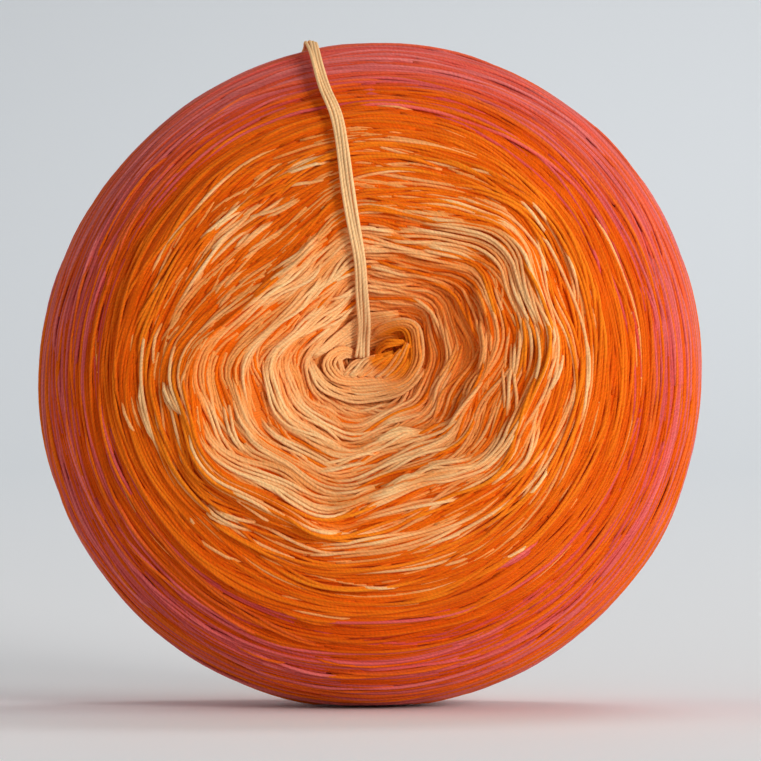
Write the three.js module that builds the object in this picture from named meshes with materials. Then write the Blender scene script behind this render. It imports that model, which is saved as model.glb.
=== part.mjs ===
import * as THREE from "three";

// A cake of gradient yarn, four unplied threads wound together, standing on its rim like a wheel.
// Its loose end comes out of the dimple in the front face and lies over the rim and down the back.
// Millimetres, +Z up. The cake's axis is along Y and its front face looks towards -Y.
// The origin is under the middle of the cake, on the surface that it rests on.
// Angles are in degrees round the cake's axis, from +X towards +Z, as seen from the front.

// Driving sizes of the wound form
const RIM_RADIUS = 65;
const HALF_THICKNESS = 45; // of the plain dome, before its middle sinks in
const FACE_POWER = 2.2; // of the radius: a lower power makes a rounder face
const RIM_POWER = 2.8; // of the thickness: a higher power makes a flatter rim
const FLAT_SPOT_DEPTH = 0.7; // how far the cake's weight presses the rim flat

// The faces sink in where the winding spindle was drawn out
const FRONT_DIMPLE = { radius: 37, depth: 15, pitRadius: 8, pitDepth: 5 };
const BACK_DIMPLE = { radius: 29, depth: 8, pitRadius: 7, pitDepth: 3 };

// The rim is a little out of round: each row is a wave round it
const RIM_WAVES = [
  { lobes: 2, height: 0.5, peak: 50 },
  { lobes: 3, height: 0.25, peak: 75 },
];

// The turns round the front dimple are pulled into a polygon, and each row is one of its corners.
// The reach is the corner's distance from the middle, as a share of the mean ring.
const CORNERS = [
  { angle: 2, reach: 1.02 },
  { angle: 40, reach: 1.06 },
  { angle: 98, reach: 0.86 },
  { angle: 181, reach: 1.07 },
  { angle: 214, reach: 1.1 },
  { angle: 257, reach: 1.01 },
  { angle: 320, reach: 0.96 },
];
const CORNER_SOFTNESS = 7; // degrees over which a corner is rounded
const PIT_RING = 5; // the turns in the pit are round,
const POLYGON_RINGS = { from: 14, to: 33 }; // those between these rings take the polygon's full shape,
const ROUND_RING = 46; // and those past this ring are round again

// The rings of the front face sit a little higher than the rim's middle
const FACE_SHIFT = { across: -0.6, up: 1.8 };

// Main bundles of turns, which stand proud of the surface, or lie sunk in it where the height is negative.
// A row runs from one angle to another. Its place is a ring's radius on a face, or a Y on the rim,
// and it drifts from the first place to the second on the way.
const FRONT_BUNDLES = [
  { place: [34, 33], angle: [96, -38], width: 5, height: 1.8 },
  { place: [38, 39], angle: [50, 8], width: 5, height: -1.4 },
  { place: [31, 33], angle: [108, 262], width: 5, height: 1.5 },
  { place: [28, 30], angle: [252, 322], width: 5, height: 1.7 },
  { place: [36, 34], angle: [205, 268], width: 4, height: 1.2 },
  { place: [24, 22], angle: [40, -50], width: 4, height: 1.4 },
  { place: [22, 25], angle: [130, 245], width: 4, height: 1.4 },
  { place: [40, 38], angle: [262, 318], width: 5, height: 1.3 },
  { place: [17, 19], angle: [150, 330], width: 4, height: 1.1 },
  { place: [44, 42], angle: [10, 70], width: 5, height: 1 },
  { place: [45, 47], angle: [110, 200], width: 5, height: 1 },
  { place: [50, 48], angle: [215, 320], width: 6, height: 1 },
  { place: [52, 54], angle: [-30, 60], width: 6, height: 0.9 },
];
const RIM_BUNDLES = [
  { place: [-26, 4], angle: [20, 170], width: 7, height: 0.4 },
  { place: [16, -20], angle: [60, 220], width: 7, height: 0.4 },
  { place: [-24, 6], angle: [160, 330], width: 7, height: 0.4 },
  { place: [24, -10], angle: [200, 350], width: 7, height: 0.4 },
  { place: [20, -18], angle: [-70, 60], width: 7, height: 0.4 },
  { place: [2, 28], angle: [110, 260], width: 7, height: 0.4 },
  { place: [-4, 26], angle: [-40, 90], width: 7, height: 0.4 },
];
const BACK_BUNDLES = [
  { place: [30, 33], angle: [20, 150], width: 6, height: 1 },
  { place: [34, 31], angle: [190, 330], width: 6, height: 1 },
  { place: [45, 43], angle: [-60, 40], width: 7, height: 0.8 },
  { place: [44, 47], angle: [110, 230], width: 7, height: 0.8 },
];
const BUNDLE_TAPER = 14; // degrees over which a bundle's ends sink in
const RIM_STARTS = { from: 46, to: 52 }; // radii between which the face's bundles give way to the rim's

// The turns in the front pit are drawn up into small curls, each placed from the pit's middle
const CURLS = [
  { across: 0.5, up: -0.5, length: 9, width: 2.6, turn: 18, height: 2.2 },
  { across: -6.5, up: -1, length: 4, width: 2.4, turn: 80, height: 1.4 },
  { across: 4.5, up: 3, length: 5, width: 2.2, turn: 50, height: 1.5 },
  { across: 0, up: -5, length: 12, width: 2.4, turn: -4, height: 1.3 },
];

// The loose end: its four threads side by side make one flat strand
const END_WIDTH = 2.6;
const END_THICKNESS = 1.3;
const END_SIDES = 8;
const END_STEPS = 78;

// The route of its middle, from the pit, up the face, over the rim and down the back
const END_ROUTE = [
  [-1.9, -27.7, 66.6],
  [-1.7, -28.9, 70],
  [-1.5, -32.2, 73.5],
  [-1.9, -36.4, 79],
  [-2.3, -39.7, 84.5],
  [-3.5, -42, 91.5],
  [-4.7, -41.2, 99],
  [-5.7, -39.5, 106],
  [-6.8, -37, 112],
  [-8.8, -33, 117.4],
  [-10.2, -27.7, 122.4],
  [-11.2, -20.2, 126.7],
  [-11.9, -11, 129.4],
  [-12.4, -1, 129.6],
  [-13.2, 9, 129.2],
  [-14.4, 18.2, 126.6],
  [-16, 25.5, 122.4],
  [-18, 31.2, 116.3],
  [-20.6, 35.5, 109],
  [-24, 38.8, 101],
  [-28, 40.1, 93],
  [-31.5, 40.9, 84.5],
  [-33.4, 41.6, 76],
  [-33.6, 42, 67.5],
  [-32, 42.6, 59],
  [-28.4, 43.2, 51],
];

// How finely the cake is faceted
const COLUMNS = 96;
const FRONT_ROWS = 34;
const BACK_ROWS = 18;
const SECTION_STEP = 0.25; // degrees between the points that the section is measured on

const HALF_TURN = 180;
const FULL_TURN = 360;
const { degToRad, euclideanModulo, lerp, smoothstep } = THREE.MathUtils;

// How far a face sinks in at one radius.
function dimpleDepth(dimple, radius) {
  const share = Math.min(radius / dimple.radius, 1);
  const bowl = 0.5 + 0.5 * Math.cos(Math.PI * share);
  const pit = Math.exp(-((radius / dimple.pitRadius) ** 2));
  return dimple.depth * bowl + dimple.pitDepth * pit;
}

// One point of the section, from 0 at the front's middle, over 90 on the rim, to 180 at the back's middle.
function sectionPoint(degrees) {
  const angle = degToRad(degrees);
  const radius = RIM_RADIUS * Math.abs(Math.sin(angle)) ** (2 / FACE_POWER);
  const dome = HALF_THICKNESS * Math.abs(Math.cos(angle)) ** (2 / RIM_POWER);
  if (degrees < HALF_TURN / 2) {
    return { radius, y: dimpleDepth(FRONT_DIMPLE, radius) - dome };
  }
  return { radius, y: dome - dimpleDepth(BACK_DIMPLE, radius) };
}

// The whole section in small steps, with each point's distance along it.
function measuredSection() {
  const section = [];
  for (let degrees = 0; degrees <= HALF_TURN; degrees += SECTION_STEP) {
    const point = sectionPoint(degrees);
    const last = section.at(-1) ?? { ...point, length: 0 };
    const step = Math.hypot(point.radius - last.radius, point.y - last.y);
    section.push({ ...point, length: last.length + step });
  }
  return section;
}

// The point at a distance along the section, with the outward direction there.
function rowAt(section, length, front) {
  const next = Math.max(section.findIndex((point) => point.length >= length), 1);
  const before = section[next - 1];
  const after = section[next];
  const step = after.length - before.length;
  const share = (length - before.length) / step;
  return {
    front,
    radius: lerp(before.radius, after.radius, share),
    y: lerp(before.y, after.y, share),
    outRadius: (after.y - before.y) / step,
    outY: (before.radius - after.radius) / step,
  };
}

// The rings of points between the two middles, evenly spaced along each face.
function sectionRows() {
  const section = measuredSection();
  const rim = section[HALF_TURN / 2 / SECTION_STEP].length;
  const whole = section.at(-1).length;
  const rows = [];
  for (let row = 1; row <= FRONT_ROWS; row += 1) {
    rows.push(rowAt(section, lerp(0, rim, row / FRONT_ROWS), true));
  }
  for (let row = 1; row < BACK_ROWS; row += 1) {
    rows.push(rowAt(section, lerp(rim, whole, row / BACK_ROWS), false));
  }
  return rows;
}

// The polygon's distance from the middle in one direction, with its corners sharp.
function sharpPolygon(degrees) {
  const first = CORNERS[0];
  const angle = euclideanModulo(degrees - first.angle, FULL_TURN) + first.angle;
  const corners = [...CORNERS, { ...first, angle: first.angle + FULL_TURN }];
  const next = corners.findIndex((corner) => corner.angle > angle);
  const [ax, az, bx, bz] = [corners[next - 1], corners[next]].flatMap(({ angle: place, reach }) => [
    reach * Math.cos(degToRad(place)),
    reach * Math.sin(degToRad(place)),
  ]);
  const across = Math.cos(degToRad(angle)) * (bz - az) - Math.sin(degToRad(angle)) * (bx - ax);
  return (ax * bz - az * bx) / across;
}

// The same distance with the corners rounded, as the mean over a few directions.
function softPolygon(degrees) {
  const shares = [-1, -0.5, 0, 0.5, 1];
  const distances = shares.map((share) => sharpPolygon(degrees + share * CORNER_SOFTNESS));
  return distances.reduce((sum, distance) => sum + distance, 0) / shares.length;
}

// How far a ring of the front face is pulled out or in by the polygon in one direction.
function polygonPull(ring, degrees) {
  const inner = smoothstep(ring, PIT_RING, POLYGON_RINGS.from);
  const outer = 1 - smoothstep(ring, POLYGON_RINGS.to, ROUND_RING);
  return lerp(1, softPolygon(degrees), inner * outer);
}

// How far one bundle lifts the surface at a place and an angle.
function bundleHeight(bundle, place, degrees) {
  const [from, to] = bundle.angle;
  const low = Math.min(from, to);
  const high = Math.max(from, to);
  const angle = euclideanModulo(degrees - low, FULL_TURN) + low;
  if (angle > high) {
    return 0;
  }
  const middle = lerp(...bundle.place, (angle - from) / (to - from));
  const across = Math.exp(-(((place - middle) / (bundle.width / 2)) ** 2));
  const toEnd = Math.min(angle - low, high - angle) / BUNDLE_TAPER;
  return bundle.height * across * smoothstep(toEnd, 0, 1);
}

function sumOf(items, heightOf) {
  return items.reduce((sum, item) => sum + heightOf(item), 0);
}

// How far the curls lift the pit's surface at a place on the front face.
function curlHeight(x, z) {
  return sumOf(CURLS, (curl) => {
    const turn = degToRad(curl.turn);
    const along = (x - curl.across) * Math.cos(turn) + (z - curl.up) * Math.sin(turn);
    const across = (z - curl.up) * Math.cos(turn) - (x - curl.across) * Math.sin(turn);
    const fall = (along / (curl.length / 2)) ** 2 + (across / (curl.width / 2)) ** 2;
    return curl.height * Math.exp(-fall);
  });
}

// One point of the wound surface, measured from the rim's middle.
function woundPoint(row, degrees) {
  const angle = degToRad(degrees);
  const wave = sumOf(RIM_WAVES, ({ lobes, height, peak }) => {
    return height * Math.cos(lobes * degToRad(degrees - peak));
  });
  const pull = row.front ? polygonPull(row.radius, degrees) : 1;
  const reach = row.radius * pull + (wave * row.radius) / RIM_RADIUS;
  const onRim = smoothstep(row.radius, RIM_STARTS.from, RIM_STARTS.to);
  const faceBundles = row.front ? FRONT_BUNDLES : BACK_BUNDLES;
  const faceLift = sumOf(faceBundles, (bundle) => bundleHeight(bundle, row.radius, degrees));
  const rimLift = sumOf(RIM_BUNDLES, (bundle) => bundleHeight(bundle, row.y, degrees));
  const curls = row.front ? curlHeight(reach * Math.cos(angle), reach * Math.sin(angle)) : 0;
  const lift = lerp(faceLift, rimLift, onRim) + curls;
  const radius = reach + row.outRadius * lift;
  const shift = row.front ? 1 - smoothstep(row.radius, POLYGON_RINGS.to, RIM_RADIUS) : 0;
  return new THREE.Vector3(
    FACE_SHIFT.across * shift + radius * Math.cos(angle),
    row.y + row.outY * lift,
    FACE_SHIFT.up * shift + radius * Math.sin(angle),
  );
}

function makeWoundGeometry() {
  const frontMiddle = sectionPoint(0).y - curlHeight(0, 0);
  const points = [new THREE.Vector3(FACE_SHIFT.across, frontMiddle, FACE_SHIFT.up)];
  const rows = sectionRows();
  for (const row of rows) {
    for (let column = 0; column < COLUMNS; column += 1) {
      points.push(woundPoint(row, (FULL_TURN * column) / COLUMNS));
    }
  }
  points.push(new THREE.Vector3(0, sectionPoint(HALF_TURN).y, 0));

  // The flat spot: what would reach lower is pressed up to it.
  for (const point of points) {
    point.z = Math.max(point.z, FLAT_SPOT_DEPTH - RIM_RADIUS);
  }

  const faces = [];
  const at = (row, column) => 1 + row * COLUMNS + (column % COLUMNS);
  const lastRow = rows.length - 1;
  for (let column = 0; column < COLUMNS; column += 1) {
    faces.push(0, at(0, column), at(0, column + 1));
    for (let row = 0; row < lastRow; row += 1) {
      faces.push(at(row, column), at(row + 1, column), at(row + 1, column + 1));
      faces.push(at(row, column), at(row + 1, column + 1), at(row, column + 1));
    }
    faces.push(at(lastRow, column), points.length - 1, at(lastRow, column + 1));
  }

  const geometry = new THREE.BufferGeometry().setFromPoints(points);
  geometry.setIndex(faces);
  geometry.computeBoundingBox();
  const middle = geometry.boundingBox.getCenter(new THREE.Vector3());
  geometry.translate(-middle.x, -middle.y, -geometry.boundingBox.min.z);
  geometry.computeVertexNormals();
  return geometry;
}

function makeLooseEndGeometry() {
  const corners = [];
  for (let side = 0; side < END_SIDES; side += 1) {
    const angle = (2 * Math.PI * (side + 0.5)) / END_SIDES;
    const across = (END_WIDTH / 2) * Math.cos(angle);
    const up = (END_THICKNESS / 2) * Math.sin(angle);
    corners.push(new THREE.Vector2(across, up));
  }
  const route = new THREE.CatmullRomCurve3(END_ROUTE.map((point) => new THREE.Vector3(...point)));
  return new THREE.ExtrudeGeometry(new THREE.Shape(corners), { steps: END_STEPS, extrudePath: route });
}

function makePiece(name, geometry, color) {
  const material = new THREE.MeshStandardMaterial({ color, roughness: 0.9, metalness: 0 });
  const mesh = new THREE.Mesh(geometry, material);
  mesh.name = name;
  return mesh;
}

const yarnCake = new THREE.Group();
yarnCake.add(makePiece("yarn_cake", makeWoundGeometry(), 0xe2702c));
yarnCake.add(makePiece("loose_end", makeLooseEndGeometry(), 0xf0b07c));

export default yarnCake;
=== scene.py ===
import math

import bpy
import numpy as np
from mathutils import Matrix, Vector


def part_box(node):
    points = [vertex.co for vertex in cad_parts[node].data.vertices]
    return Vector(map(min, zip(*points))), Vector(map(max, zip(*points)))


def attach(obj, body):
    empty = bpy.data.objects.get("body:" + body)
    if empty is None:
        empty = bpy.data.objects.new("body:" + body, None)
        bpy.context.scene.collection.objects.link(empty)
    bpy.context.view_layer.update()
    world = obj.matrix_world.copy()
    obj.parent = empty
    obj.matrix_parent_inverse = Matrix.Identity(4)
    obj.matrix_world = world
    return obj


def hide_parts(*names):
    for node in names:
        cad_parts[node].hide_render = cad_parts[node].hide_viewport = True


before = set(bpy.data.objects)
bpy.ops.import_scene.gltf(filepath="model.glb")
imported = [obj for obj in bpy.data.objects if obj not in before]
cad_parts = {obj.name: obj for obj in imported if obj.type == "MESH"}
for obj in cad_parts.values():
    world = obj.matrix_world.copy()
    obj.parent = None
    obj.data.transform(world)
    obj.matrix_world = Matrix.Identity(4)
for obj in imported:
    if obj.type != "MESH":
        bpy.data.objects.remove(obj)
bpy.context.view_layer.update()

# A cake of gradient yarn: four unplied threads wound together, standing on its rim like a wheel.
# The form below is measured in millimetres and degrees as in the part's source. Meshes are in metres.
# A place is the distance along the cake's section, from the middle of its front face over the rim
# to the middle of its back face. Angles run round the axis, from +X towards +Z, as seen from the front.
MM = 0.001

# Sizes of the wound form, as in the part's source
RIM_RADIUS = 65
HALF_THICKNESS = 45
FACE_POWER = 2.2
RIM_POWER = 2.8
FLAT_SPOT_DEPTH = 0.7
FRONT_DIMPLE = {"radius": 37, "depth": 15, "pit_radius": 8, "pit_depth": 5}
BACK_DIMPLE = {"radius": 29, "depth": 8, "pit_radius": 7, "pit_depth": 3}
RIM_WAVES = [
    {"lobes": 2, "height": 0.5, "peak": 50},
    {"lobes": 3, "height": 0.25, "peak": 75},
]
# Angle and reach of each corner of the polygon that the front's turns run round
CORNERS = [(2, 1.02), (40, 1.06), (98, 0.86), (181, 1.07), (214, 1.1), (257, 1.01), (320, 0.96)]
CORNER_SOFTNESS = 7
PIT_RING = 5
POLYGON_RINGS = (14, 33)
ROUND_RING = 46
FACE_SHIFT = {"across": -0.6, "up": 1.8}
# Raised and sunk bundles. Each row holds the first and last place, the first and last angle, the width
# and the height.
FRONT_BUNDLES = [
    ((34, 33), (96, -38), 5, 1.8),
    ((38, 39), (50, 8), 5, -1.4),
    ((31, 33), (108, 262), 5, 1.5),
    ((28, 30), (252, 322), 5, 1.7),
    ((36, 34), (205, 268), 4, 1.2),
    ((24, 22), (40, -50), 4, 1.4),
    ((22, 25), (130, 245), 4, 1.4),
    ((40, 38), (262, 318), 5, 1.3),
    ((17, 19), (150, 330), 4, 1.1),
    ((44, 42), (10, 70), 5, 1),
    ((45, 47), (110, 200), 5, 1),
    ((50, 48), (215, 320), 6, 1),
    ((52, 54), (-30, 60), 6, 0.9),
]
RIM_BUNDLES = [
    ((-26, 4), (20, 170), 7, 0.4),
    ((16, -20), (60, 220), 7, 0.4),
    ((-24, 6), (160, 330), 7, 0.4),
    ((24, -10), (200, 350), 7, 0.4),
    ((20, -18), (-70, 60), 7, 0.4),
    ((2, 28), (110, 260), 7, 0.4),
    ((-4, 26), (-40, 90), 7, 0.4),
]
BACK_BUNDLES = [
    ((30, 33), (20, 150), 6, 1),
    ((34, 31), (190, 330), 6, 1),
    ((45, 43), (-60, 40), 7, 0.8),
    ((44, 47), (110, 230), 7, 0.8),
]
BUNDLE_TAPER = 14
RIM_STARTS = (46, 52)
CURLS = [
    {"across": 0.5, "up": -0.5, "length": 9, "width": 2.6, "turn": 18, "height": 2.2},
    {"across": -6.5, "up": -1, "length": 4, "width": 2.4, "turn": 80, "height": 1.4},
    {"across": 4.5, "up": 3, "length": 5, "width": 2.2, "turn": 50, "height": 1.5},
    {"across": 0, "up": -5, "length": 12, "width": 2.4, "turn": -4, "height": 1.3},
]

# The loose end's route, as in the part's source: out of the pit, up the face and over the rim
END_ROUTE = [
    (-1.9, -27.7, 66.6), (-1.7, -28.9, 70), (-1.5, -32.2, 73.5), (-1.9, -36.4, 79),
    (-2.3, -39.7, 84.5), (-3.5, -42, 91.5), (-4.7, -41.2, 99), (-5.7, -39.5, 106),
    (-6.8, -37, 112), (-8.8, -33, 117.4), (-10.2, -27.7, 122.4), (-11.2, -20.2, 126.7),
    (-11.9, -11, 129.4), (-12.4, -1, 129.6), (-13.2, 9, 129.2), (-14.4, 18.2, 126.6),
    (-16, 25.5, 122.4), (-18, 31.2, 116.3), (-20.6, 35.5, 109), (-24, 38.8, 101),
    (-28, 40.1, 93), (-31.5, 40.9, 84.5), (-33.4, 41.6, 76), (-33.6, 42, 67.5),
    (-32, 42.6, 59), (-28.4, 43.2, 51),
]

# The threads
THREAD = 0.67  # across one thread
THREADS = 4  # that are wound together
GROUP_WIDTH = 2.65  # across four threads side by side
SQUEEZE = 0.2  # how far a thread may press into those under it
EVEN_LAYERS = 2  # which fill the gaps in those over them
LAYERS = 5
SPAN = 1.3  # how far a taut thread runs straight on, to each side of what it rests on
FACE_RELIEF = 0.58  # share of the height differences that stays when the yarn is pulled tight,
RIM_RELIEF = 0.32  # and past these places of the front face
RELIEF_PLACES = (38, 58)
GAP_DEPTHS = (0.95, 0.5)  # of the gaps between threads, at most: on the face and past it
RISE = 0.45  # of threads over the wound form, at most
RIM_SINK = 0.5  # of the threads past the face, into the wound form
LEVEL_REACH = 4.5  # over which the yarn's mean height comes to lie on the wound form,
LEVEL_SPREAD = 1.1  # with so many times its spread
PARTING = 0.5  # how far threads of a group wander from each other
PARTING_PLACES = (32, 44, 66, 92)  # where it sets in and dies out
CELL = 0.125  # of the height map, along the section
COLUMNS = 720  # of the height map, round the axis
SEGMENTS = (1.9, 3.0)  # length of a straight piece of thread inside the polygon, and further out
SEGMENT_PLACES = (34, 60)
STRIDES = (1, 2, 3, 4, 5, 6, 8, 9, 10, 12)  # columns a piece, so that neighbours bend at the same angles
SIDES = 6
PIECE_SEGMENTS = 16000  # at most, in one mesh
PIT = 6.5  # place where the turns end and the pit's curls begin
BACK_PIT = 3  # place of the last turn, from the middle of the back
CLOSEST = 1.2  # place of a thread that wanders furthest inwards
BEYOND = 2  # how far a thread runs on under others
GROUND = 0.35  # lowest middle of a thread, in threads' widths
FACE_MIDDLE = 32  # place where the turns are loosest
FACE_REACH = 36  # over which they tighten to either side,
TIGHT = 0.2  # to this share
SWAY = (0.8, 1.7)  # of turns that run alike, tight and loose
SWAY_SHARE = 0.16  # of the distance to the middle, at most
OWN_SWAY = 0.35  # of a group, as a share of it
FAMILY_SIZES = (1, 3)  # groups of threads that run alike
OVERLAP = 0.6  # of neighbouring families at most, in groups' widths
LOOSER = 0.2  # how much wider a loose group is,
SWING = 0.45  # and how much its width changes
TIGHTEST = 0.5  # its least width, as a share
ROLLED = 0.3  # share of a group's width that comes from rolling over
THREAD_SWAY = 0.08  # of a thread in its group,
LOOSE_SWAY = 0.1  # and how much more it is in a loose one
EVEN_START = 1.5
EVEN_SWAY = 0.12
EVEN_PITCH = 0.98  # in threads' widths

# Wavy lines round the axis: how many lobes their waves have, and the height of each wave
EVEN_WAVES = ((1, 2, 3, 5), (1, 1, 1, 1))
FAMILY_WAVES = ((1, 2, 3, 4, 5, 6, 8), (0.6, 0.5, 0.5, 0.4, 0.3, 0.25, 0.08))
GROUP_WAVES = ((1, 2, 4, 7), (1, 0.7, 0.5, 0.3))
SPREAD_WAVES = ((2, 3, 5, 7), (0.5, 0.5, 0.4, 0.3))
ROLL_WAVES = ((1, 2, 3, 7), (2, 1, 1, 0.4))
THREAD_WAVES = ((4, 6, 9, 14), (1, 1, 0.5, 0.2))
PARTING_WAVES = ((2, 3, 4, 5, 6), (1, 0.8, 0.6, 0.4, 0.3))
BUNDLE_WAVES = ((5, 8, 13), (1, 1, 0.5))

# Dyes, as sRGB: each dye's own colour on a thread's crest, and its painted shade, a darker and more
# orange colour that stands in for light that has come through other thread.
# A thread's dye is a number, which may lie between two of these. The shifts change it in some parts: as
# painted shade at the right of the dimple and in the pit, and further along the dyes at the top of the
# rim.
PALE, PEACH, ORANGE, RUST, PINK, ROSE = range(6)
CREST_COLORS = [
    (255, 213, 158),
    (255, 205, 144),
    (252, 142, 30),
    (243, 119, 21),
    (238, 111, 106),
    (232, 132, 125),
]
PAINTED_SHADE_COLORS = [
    (247, 165, 86),
    (242, 147, 66),
    (234, 99, 8),
    (217, 76, 6),
    (211, 74, 71),
    (207, 94, 88),
]
# Painted shade: the dimple's right side and the pit are moved towards orange, as their shade. The top of
# the rim is moved further along the dyes, towards rust and rose.
RIGHT_PAINTED_SHADE = {"dye": 0.7, "angle": 20, "places": (22, 38)}
TOP_SHIFT = {"dye": 0.7, "angle": 85, "places": (56, 70)}
INNER_PAINTED_SHADE = {"dye": 0.45, "places": (8, 16)}
DYE_SPREAD = 0.13
LEVEL_CHANCE = 0.45  # spread of the number of threads that have changed

# How far the dye has changed at each place: up to 4 is the number of orange threads among peach ones,
# and from 4 to 8 the number of pink threads among orange ones is 4 less
DYE_PLACES = [0, 14, 22, 28, 35, 45, 51, 56, 66, 82, 98]
DYE_LEVELS = [0, 0.1, 0.9, 1.7, 2.5, 3.1, 3.6, 4.2, 5.6, 7, 7.5]
RUST_LEVELS = (2.4, 4.8)
ROSE_LEVELS = (5, 7.5)

# Bundles of peach threads that show best on the front face, and of pink ones. Each row holds the evenly
# spaced places that it runs through, its first and last angle, and how many threads it has.
PEACH_BUNDLES = [
    ((42.5, 42.5, 42, 41.5, 40.5, 39.5), (161, 99), 2),
    ((47.5, 47.5, 47.5, 47, 47, 48), (152, 103), 1),
    ((47, 46, 45.5, 45), (123, 97), 1),
    ((45.5, 44.5, 43.5, 43), (120, 97), 1),
    ((45.5, 45, 43.5, 43, 43), (144, 100), 2),
    ((45.5, 44.5, 44, 43.5), (161, 124), 1),
    ((39.5, 41.5, 41.5, 40), (169, 133), 2),
    ((46, 45.5, 45.5, 44.5, 43.5, 44), (155, 198), 1),
    ((44.5, 43.5, 44, 44.5), (160, 181), 3),
    ((43.5, 42.5, 41.5, 40, 39, 38.5, 39), (157, 211), 1),
    ((47.5, 48, 48.5, 47.5, 46), (176, 208), 3),
    ((53, 52.5, 51, 50), (181, 203), 1),
    ((42.5, 41, 39.5), (183, 200), 3),
    ((20.5, 20, 18.5, 18.5), (31, -32), 3),
    ((24, 26.5, 26, 24.5), (30, -10), 3),
    ((26.5, 24.5, 25), (6, -32), 3),
    ((33, 31.5, 31, 32, 34), (22, -20), 4),
    ((36, 35, 35.5, 35), (36, 1), 3),
    ((39, 38.5), (15, -2), 1),
    ((45.5, 46, 45.5, 44), (36, 6), 2),
    ((41.5, 40, 40.5), (7, -16), 3),
    ((12, 12.5, 12, 12.5), (140, 300), 4),
    ((15, 15.5, 15, 16), (150, 290), 4),
    ((18.5, 18, 18.5, 19), (160, 300), 4),
    ((21.5, 21, 20.5, 21), (150, 260), 4),
    ((43.5, 43.5), (148, 127), 1),
    ((47.5, 46.5, 46, 46), (151, 121), 3),
    ((46, 45.5, 45, 45.5), (157, 120), 3),
    ((40.5, 40), (148, 166), 2),
    ((49, 49.5, 50.5), (83, 108), 1),
    ((47, 46, 45.5), (50, 30), 1),
    ((45.5, 45, 44.5, 45), (52, 30), 1),
    ((45, 46, 47), (17, -16), 1),
    ((43, 43), (62, 40), 1),
    ((38, 38, 38, 38.5, 39, 38.5), (90, 43), 2),
    ((32, 32.5, 33, 33.5), (90, 44), 4),
    ((31, 31, 31, 30.5, 30.5), (74, 33), 4),
    ((29, 27.5, 27, 27, 28, 29), (83, 26), 3),
    ((25, 25, 27, 26.5, 25), (50, 2), 4),
    ((25.5, 25.5, 23.5), (30, -22), 3),
    ((27, 26.5, 26, 25, 24.5, 25, 24), (5, -67), 3),
    ((30.5, 31, 33.5, 34.5), (9, -31), 4),
    ((36, 34.5, 35, 35, 34.5, 35, 34.5), (86, -4), 7),
    ((48.5, 50.5), (215, 229), 1),
    ((52, 50.5, 49), (219, 243), 1),
    ((42.5, 39.5, 38.5, 39, 40.5), (208, 255), 1),
    ((43.5, 40.5, 40.5, 41), (210, 250), 1),
    ((43.5, 44.5, 43.5, 42), (214, 243), 4),
    ((45, 44.5), (337, 313), 1),
    ((46.5, 47.5), (283, 303), 1),
    ((49, 50, 51.5), (296, 322), 1),
    ((47.5, 48.5), (263, 281), 1),
    ((45, 42, 42, 42.5, 42.5, 42.5), (242, 318), 5),
    ((41.5, 40.5, 41, 40.5, 40.5), (303, 355), 3),
    ((38.5, 37, 37.5, 38.5, 39.5, 40.5), (249, 315), 2),
    ((36.5, 35, 36, 36, 37, 38), (277, 352), 3),
    ((28, 26, 24, 24.5, 27), (236, 283), 4),
    ((32, 28.5, 28.5, 28, 27, 26, 24.5), (168, 241), 5),
    ((32.5, 32, 31.5, 33, 33.5, 32.5), (276, 333), 6),
    ((36, 36.5, 36.5, 38, 38.5), (97, 158), 4),
    ((30, 32, 31, 31.5, 33, 33, 31), (97, 172), 4),
    ((40, 37, 35.5, 34.5), (162, 190), 3),
    ((37, 35.5, 35, 33.5, 32.5, 32.5, 31.5, 32.5), (183, 272), 6),
    ((34.5, 33.5, 34.5, 34.5, 34, 34), (219, 273), 3),
]
PINK_BUNDLES = [
    ((50.5, 51, 53.5), (293, 323), 2),
    ((59, 57), (97, 82), 2),
]
DIVE = 1.9  # how deep a bundle's ends go
DIVE_LENGTH = 11
STAGGER = 7  # how far apart the ends of a bundle's threads are, at most
BUNDLE_PITCH = 1.05  # threads' widths from thread to thread
NARROWING = 0.35  # share of it that is left at the ends
BUNDLE_WANDER = 0.18

# Short bundles at random places on the front face, which cross their neighbours. Each row holds how many
# there are, their range of places, angles and lengths, how far they drift across, their threads at most,
# and their dye, if it isn't the one that their place has.
SHORT_BUNDLES = [
    (150, (36, 74), (0, 360), (25, 70), 1.5, 2, None),
    (60, (9, 36), (0, 360), (18, 40), 0.6, 4, None),
    (70, (18, 36), (80, 310), (20, 50), 1, 3, PEACH),
]
SHORT_REACH = 150  # degrees, at most
SHORT_DYE_SPREAD = 0.6

# Bundles in each layer along the polygon's longest side, where the turns run wide apart
FILL_BUNDLES = 7
FILL_PLACES = (31, 46)
FILL_ANGLES = (102, 174)
FILL_SPREAD = {"place": 0.7, "angle": 6}

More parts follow.
